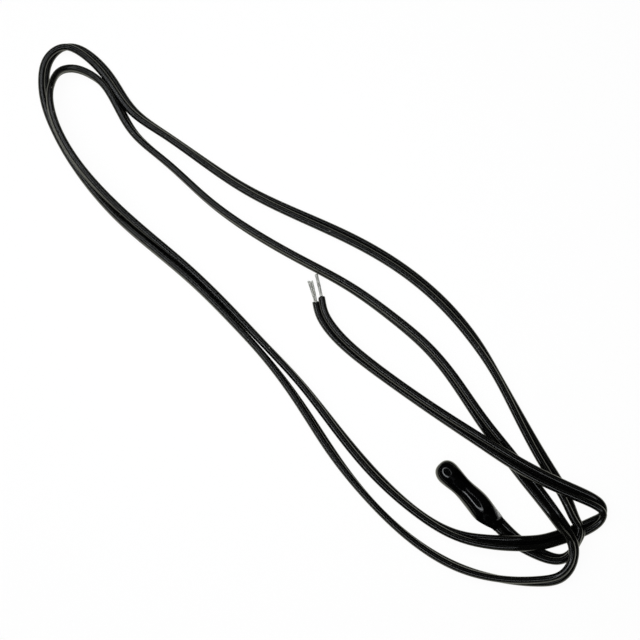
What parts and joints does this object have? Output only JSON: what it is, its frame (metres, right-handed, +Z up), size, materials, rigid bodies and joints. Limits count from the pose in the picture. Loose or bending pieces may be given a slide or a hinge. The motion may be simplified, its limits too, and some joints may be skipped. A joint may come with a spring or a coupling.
{
  "type": "thermistor probe",
  "caption": "Resin-dipped thermistor sensing head on a long twin-core flat cable, with stripped and tinned wire ends, lying in loose turns",
  "frame": {"origin": "under the middle of the sensing head, on the surface that the head lies on", "axes": "+X along the head from its round nose to the cable, +Y across the head, +Z up"},
  "size_m": [0.1472, 0.0395, 0.0067],
  "materials": {
    "black_resin": "glossy black dipping resin",
    "ceramic": "dull dark oxide ceramic",
    "silver_film": "fired silver film",
    "solder": "satin solder",
    "tinned_copper": "tinned copper, satin",
    "cable_skin": "black soft cable insulation with a low sheen"
  },
  "bodies": {
    "root": {"coating": "black_resin", "ntc_chip": "ceramic", "electrode_a": "silver_film", "electrode_b": "silver_film", "chip_solder_a": "solder", "chip_solder_b": "solder", "lead_a": "tinned_copper", "lead_b": "tinned_copper", "joint_a": "solder", "joint_b": "solder", "root_wire_a": "tinned_copper", "root_wire_b": "tinned_copper", "cable": "cable_skin", "end_wire_a": "tinned_copper", "end_wire_b": "tinned_copper"}
  },
  "joints": []
}
